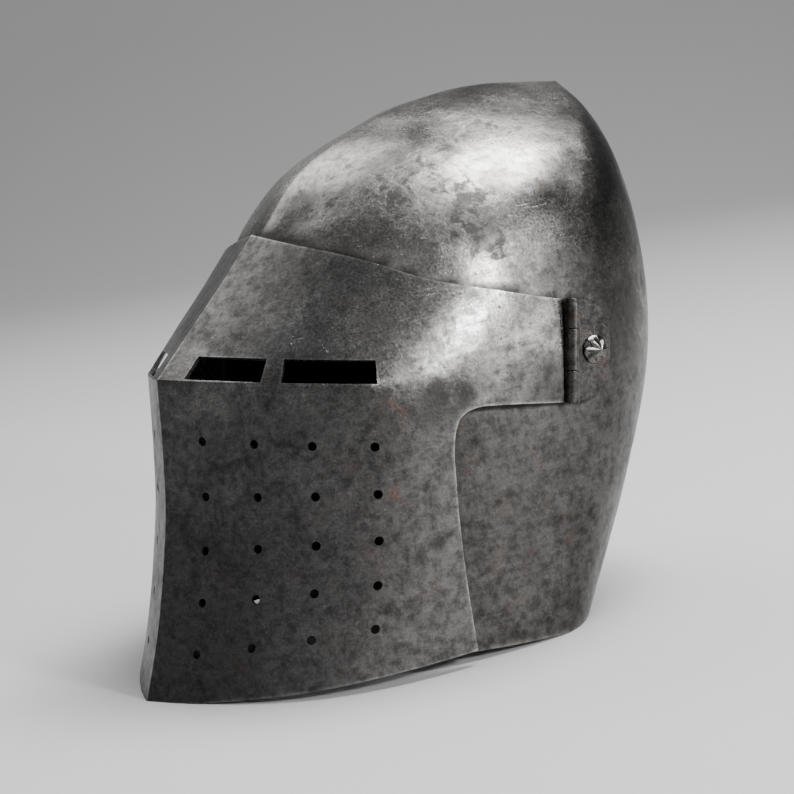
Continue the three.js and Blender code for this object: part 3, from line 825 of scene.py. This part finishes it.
def row_height(row, column, arc, u):
    kind, value, offset = row
    if kind == "foot":
        return foot_z(visor_point, visor_foot(u), u) + offset
    if kind == "hole":
        down = hole_slope(row)
        share = down + 0.015 * math.sin(math.pi * down)
        lowest = -125.5 + 5.3 * (arc - HOLE["first"]) / HOLE["pitch"]
        return lerp(HOLE["top"], lowest, share) + offset
    if kind == "level":
        j = ROWS.index(row)
        even = lerp(HINGE["foot"], SIGHT["head"], (j - ARM_ROW) / (HEAD_ROW - ARM_ROW))
        return lerp(value, even, smoothstep(column, LAST_ARC, REAR_COLUMN)) if j > ARM_ROW else value
    return lerp(SIGHT["head"], visor_head(u), value)


def layout_place(column, j):
    """(u, z) of one crossing of the visor's layout."""
    row = ROWS[j]
    arc = VISOR_ARCS[min(column, LAST_ARC)]
    down = hole_slope(row)
    shift = down * clamp(arc / HOLE["first"]) * lerp(0.5, 1.5, clamp((arc - HOLE["first"]) / HOLE["pitch"]))
    rear_arc = VISOR_ARCS[LAST_ARC] + REAR_STEP * (column - LAST_ARC)
    u = 0.3
    for _ in range(4):
        z = row_height(row, column, arc if column <= LAST_ARC else rear_arc, u)
        if column == REAR_COLUMN and j < ARM_ROW:
            u = u_at_y(visor_point, rear_y(z), z)
        elif column >= REAR_COLUMN:
            y = ARM_YS[column - REAR_COLUMN]
            z = arm_low(y) if j == ARM_ROW else z
            u = u_at_y(visor_point, y, z)
        else:
            by_arc = u_at_arc(arc + shift, z)
            u = lerp(by_arc, sight_u(min(column, LAST_ARC), z), smoothstep(z, -22, 0))
    return u, z


def visor_layout():
    places = {}
    for j in range(TOP_ROW + 1):
        for column in list(range(LAST_ARC + 1)) + list(range(REAR_COLUMN, ARM_END + 1)):
            if column <= REAR_COLUMN or j >= ARM_ROW:
                places[column, j] = layout_place(column, j)
        (u0, z0), (u1, z1) = places[LAST_ARC, j], places[REAR_COLUMN, j]
        for column in range(LAST_ARC + 1, REAR_COLUMN):
            t = (column - LAST_ARC) / (REAR_COLUMN - LAST_ARC)
            places[column, j] = (lerp(u0, u1, t), lerp(z0, z1, t))
    return places


def in_hole(i, j, reach):
    """The middle of the breath hole whose square takes in this place, if any."""
    for c in HOLE_COLUMNS:
        for r in HOLE_ROWS:
            if max(abs(i - FINE * c), abs(j - FINE * r)) < reach:
                return c, r
    return None


def visor_gone(i, j):
    column, row = i / FINE, j / FINE
    if column > REAR_COLUMN and row < ARM_ROW:
        return True
    if SILL_ROW < row < HEAD_ROW and any(a < column < b for a, b in SIGHT_COLUMNS):
        return True
    return in_hole(i, j, FINE - 1) is not None


def between(places, i, j):
    """(u, z) at a fine crossing, on straight lines between the layout's."""
    c, r = min(i // FINE, ARM_END - 1), min(j // FINE, TOP_ROW - 1)
    if c >= REAR_COLUMN and i == FINE * REAR_COLUMN and r < ARM_ROW:
        c -= 1
    s, t = i / FINE - c, j / FINE - r
    near = [places.get((c + a, r + b)) for a, b in ((0, 0), (1, 0), (0, 1), (1, 1))]
    lower = near[0] if s == 0 else [lerp(p, q, s) for p, q in zip(near[0], near[1])]
    if t == 0:
        return lower
    upper = near[2] if s == 0 else [lerp(p, q, s) for p, q in zip(near[2], near[3])]
    return [lerp(p, q, t) for p, q in zip(lower, upper)]


def ring_place(places, i, j, hole):
    """A place on the round edge of a breath hole."""
    c, r = hole
    u, z = places[c, r]
    a, b = i - FINE * c, j - FINE * r
    flat = abs(a) >= abs(b)
    angle = math.pi / 4 * b / a if flat else math.pi / 2 - math.pi / 4 * a / b
    if (flat and a < 0) or (not flat and b < 0):
        angle += math.pi
    here = visor_point(u, z)
    per_u = (visor_point(u + 0.01, z) - here).length / 0.01
    per_z = (visor_point(u, z + 1) - here).length
    return u + HOLE["radius"] * math.cos(angle) / per_u, z + HOLE["radius"] * math.sin(angle) / per_z


def make_visor(material, inside):
    places = visor_layout()
    mesh = lattice(ARM_END * FINE, TOP_ROW * FINE)
    cut_cells(mesh, visor_gone)
    bored = mesh.verts.layers.float.new("bored")
    for v in mesh.verts:
        i, j = round(v.co.x), round(v.co.y)
        u, z = between(places, i, j)
        hole = in_hole(i, j, FINE - 0.5)
        if hole:
            u, z = ring_place(places, i, j, hole)
            v[bored] = 1
        elif j == 0:
            z = foot_z(visor_point, visor_foot(u), u)
        elif j == TOP_ROW * FINE:
            z = visor_head(u)
        elif i == REAR_COLUMN * FINE and j < ARM_ROW * FINE:
            u = u_at_y(visor_point, rear_y(z), z)
        elif i > REAR_COLUMN * FINE and j == ARM_ROW * FINE:
            z = arm_low(visor_point(u, z).y)
        calm = smoothstep(j, 0, 14) * (1 - smoothstep(i, 100, 112)) * smoothstep(i, 0, 8)
        v.co = hammered(visor_point(u, z), DENTS["visor"]["depth"] * calm, DENTS["visor"]["size"])
    whole(mesh)
    mark_rim(mesh, 2.5)
    made = piece("visor_plate", mesh, "visor_body", "visor_steel", ["visor"], material, inside)
    thicken(made, PLATE, -1, 0.25)
    return made


# ---- hinges --------------------------------------------------------------------------------------
LEAF_MIDDLE = LEAF["inner"] + LEAF["thickness"] / 2
BARREL = {"turn": math.radians(328), "steps": 30, "tail": 4.4}  # the tail is flat sheet before the roll


def on_side(mesh, side):
    """A left piece, or its mirror image."""
    if side < 0:
        bmesh.ops.scale(mesh, vec=(-1, 1, 1), verts=mesh.verts)
        bmesh.ops.reverse_faces(mesh, faces=mesh.faces)


def roll(mesh, edge, way):
    """Rolls a sheet's upright edge outwards round the pin: a leaf's way is 1, the visor's is -1."""
    bmesh.ops.spin(
        mesh,
        geom=[edge, *edge.verts],
        cent=(HINGE["x"], HINGE["y"], 0),
        axis=(0, 0, way),
        angle=BARREL["turn"],
        steps=BARREL["steps"],
    )


def make_knuckle(hand, side, material):
    """The visor's own knuckle, in the middle of the barrel."""
    mesh = bmesh.new()
    low, high = HINGE["low"] + 0.2, HINGE["high"] - 0.2
    ends = [mesh.verts.new((LEAF_MIDDLE, HINGE["y"] - BARREL["tail"], z)) for z in (low, high)]
    grown = bmesh.ops.extrude_edge_only(mesh, edges=[mesh.edges.new(ends)])["geom"]
    far_end = [g for g in grown if isinstance(g, bmesh.types.BMVert)]
    bmesh.ops.translate(mesh, vec=(0, BARREL["tail"], 0), verts=far_end)
    edge = next(g for g in grown if isinstance(g, bmesh.types.BMEdge))
    roll(mesh, edge, -1)
    bmesh.ops.remove_doubles(mesh, verts=mesh.verts, dist=0.001)
    bmesh.ops.recalc_face_normals(mesh, faces=mesh.faces)
    on_side(mesh, side)
    mark_rim(mesh, 2)
    made = piece(f"visor_knuckle_{hand}", mesh, "visor_body", "hinge_steel", ["visor"], material)
    thicken(made, LEAF["thickness"], 0, 0.25)


def leaf_outline():
    """The leaf's outline (y, z) round its D, ending at the notch for the visor's knuckle."""
    y, foot, top, back = HINGE["y"], HINGE["foot"], HINGE["top"], LEAF["back"]
    middle, turn = (foot + top) / 2, 13
    lower = [Vector(p) for p in ((y + 6, foot), (back - 4, foot + 1), (back, middle - turn), (back, middle))]
    upper = [Vector((p.x, foot + top - p.y)) for p in reversed(lower)]
    curve = [bezier(*lower, k / 10) for k in range(11)] + [bezier(*upper, k / 10) for k in range(1, 11)]
    notch_y = y + HINGE["radius"] + 0.4
    low, high = HINGE["low"] - 0.2, HINGE["high"] + 0.2
    notch = [Vector(p) for p in ((y, top), (y, high), (notch_y, high), (notch_y, low), (y, low), (y, foot))]
    return curve + notch


def make_leaf(hand, side, material):
    mesh = bmesh.new()
    points = [mesh.verts.new((LEAF_MIDDLE, p.x, p.y)) for p in leaf_outline()]
    rolled = []
    for a, b in zip(points, points[1:] + points[:1]):
        edge = mesh.edges.new((a, b))
        if abs(a.co.y - HINGE["y"]) < 0.01 and abs(b.co.y - HINGE["y"]) < 0.01:
            rolled.append(edge)
    turned = Matrix.Translation((LEAF_MIDDLE, PIVOT.y, PIVOT.z)) @ Matrix.Rotation(math.pi / 2, 4, "Y")
    bmesh.ops.create_circle(mesh, cap_ends=False, segments=24, radius=RIVET["shank"] + 0.3, matrix=turned)
    bmesh.ops.triangle_fill(mesh, use_beauty=True, edges=mesh.edges)
    for edge in rolled:
        roll(mesh, edge, 1)
    bmesh.ops.remove_doubles(mesh, verts=mesh.verts, dist=0.001)
    bmesh.ops.recalc_face_normals(mesh, faces=mesh.faces)
    on_side(mesh, side)
    mark_rim(mesh, 3)
    name = f"hinge_leaf_{hand}"
    made = piece(f"{name}_rolled", mesh, "visor_body", "hinge_steel", [name], material)
    thicken(made, LEAF["thickness"], 0, 0.3)
    return made


def lathe(profile, steps):
    """A closed shape turned about the z axis, from a profile of (radius, height)."""
    mesh = bmesh.new()
    points = [mesh.verts.new((radius, 0, height)) for radius, height in profile]
    edges = [mesh.edges.new(pair) for pair in zip(points, points[1:])]
    bmesh.ops.spin(
        mesh,
        geom=points + edges,
        cent=(0, 0, 0),
        axis=(0, 0, 1),
        angle=2 * math.pi,
        steps=steps,
        use_merge=True,
    )
    bmesh.ops.remove_doubles(mesh, verts=mesh.verts, dist=0.0005)
    bmesh.ops.recalc_face_normals(mesh, faces=mesh.faces)
    return mesh


def make_pin(hand, side, material):
    """A rod with its ends hammered over a little."""
    radius, head, low, high = HINGE["pin"], 1.75, HINGE["foot"] - 0.5, HINGE["top"] + 0.5
    end = [(0, 0), (0.6 * head, 0.08), (0.95 * head, 0.25), (head, 0.4), (radius, 0.5)]
    profile = [(r, low + h) for r, h in end] + [(r, high - h) for r, h in reversed(end)]
    mesh = lathe(profile, 32)
    bmesh.ops.translate(mesh, vec=(side * HINGE["x"], HINGE["y"], 0), verts=mesh.verts)
    mark_rim(mesh, 1)
    piece(f"hinge_pin_{hand}_peened", mesh, "visor_body", "hinge_steel", [f"hinge_pin_{hand}"], material)


# ---- rivets --------------------------------------------------------------------------------------
def make_rivet(hand, side, material):
    """A tall head filed into ribs and hollows, its shank, and its burr inside the skull."""
    seat = LEAF["inner"] + LEAF["thickness"] + 0.3
    inside = skull_line[2](PIVOT.z) - PLATE - 0.8
    head, dome, shank, burr = RIVET["head"], RIVET["dome"], RIVET["shank"], RIVET["burr"]
    inner = [(0, inside - 1.5), (burr - 1.4, inside - 1.45), (burr - 0.5, inside - 1), (burr, inside - 0.4)]
    inner += [(burr - 0.2, inside), (shank, inside), (shank, seat), (head - 0.3, seat), (head, seat + 0.25)]
    outer = [(head * (1 - k / 20), seat + 0.6 + (dome - 0.6) * (k / 20) ** 0.7) for k in range(20)]
    profile = inner + outer + [(0, seat + dome)]
    mesh = lathe(profile, 128)
    for v in mesh.verts:
        high = (v.co.z - seat - 0.6) / (dome - 0.6)
        if high < 0:
            continue
        angle = math.atan2(v.co.y, v.co.x)
        hollow = abs(math.sin(RIVET["flutes"] / 2 * angle)) * smoothstep(high, -0.1, 0.15)
        v.co.x *= 1 - RIVET["flute_depth"] * hollow
        v.co.y *= 1 - RIVET["flute_depth"] * hollow
    turn = Matrix(((0, 0, 1, 0), (1, 0, 0, 0), (0, 1, 0, 0), (0, 0, 0, 1)))
    bmesh.ops.transform(mesh, matrix=Matrix.Translation((0, PIVOT.y, PIVOT.z)) @ turn, verts=mesh.verts)
    on_side(mesh, side)
    mark_rim(mesh, 1)
    piece(f"pivot_rivet_{hand}_filed", mesh, "skull_body", "rivet_steel", [f"pivot_rivet_{hand}"], material)


# ---- painted shadow under the plates' edges ------------------------------------------------------
# "edge" is the least rim value that counts as a plate's edge, and "most_up" caps the upward part of the
# skull's normal. The others are in mm: how far past the ledge the painted shadow is full and none, and
# the widest gap that gets any.
SEAM_SHADOW = {"edge": 0.9, "full": 0.8, "none": 2.2, "widest_gap": 8, "most_up": 0.8}


def mark_seam_shadow(skull, others):
    """Painted shadow on the skull in the angle under the plates' edges, wider where the edge makes a ledge.
    """
    edge = []
    for made in others:
        rims = made.data.attributes["rim"].data
        edge += [v.co.copy() for v, rim in zip(made.data.vertices, rims) if rim.value > SEAM_SHADOW["edge"]]
    near_edge, near_skull = tree_of(edge), tree_of([v.co.copy() for v in skull.data.vertices])
    gaps = [near_skull.find(co)[2] for co in edge]
    seam_shadow = skull.data.attributes.new("seam_shadow", "FLOAT", "POINT")
    for v, value in zip(skull.data.vertices, seam_shadow.data):
        _, k, apart = near_edge.find(v.co)
        along = math.sqrt(max(apart * apart - gaps[k] * gaps[k], 0)) / MM
        up = clamp(v.normal.z, 0, SEAM_SHADOW["most_up"])
        ledge = (gaps[k] / MM + PLATE) * up / math.sqrt(1 - up * up)
        dark = 1 - smoothstep(along, ledge + SEAM_SHADOW["full"], ledge + SEAM_SHADOW["none"])
        value.value = dark if gaps[k] < SEAM_SHADOW["widest_gap"] * MM else 0


# ---- assembly ------------------------------------------------------------------------------------
make_camera()
make_floor()
make_lights()
skull_steel, visor_steel = skull_material(), visor_material()
hinge_iron, rivet_iron = hinge_material(), rivet_material()
leaf_steel, inside = leaf_material(), shade_black_inside_material()
skull = make_skull(skull_steel, inside)
plates = [make_visor(visor_steel, inside)]
for hand, side in (("left", 1), ("right", -1)):
    make_knuckle(hand, side, hinge_iron)
    plates.append(make_leaf(hand, side, leaf_steel))
    make_pin(hand, side, hinge_iron)
    make_rivet(hand, side, rivet_iron)
mark_seam_shadow(skull, plates)
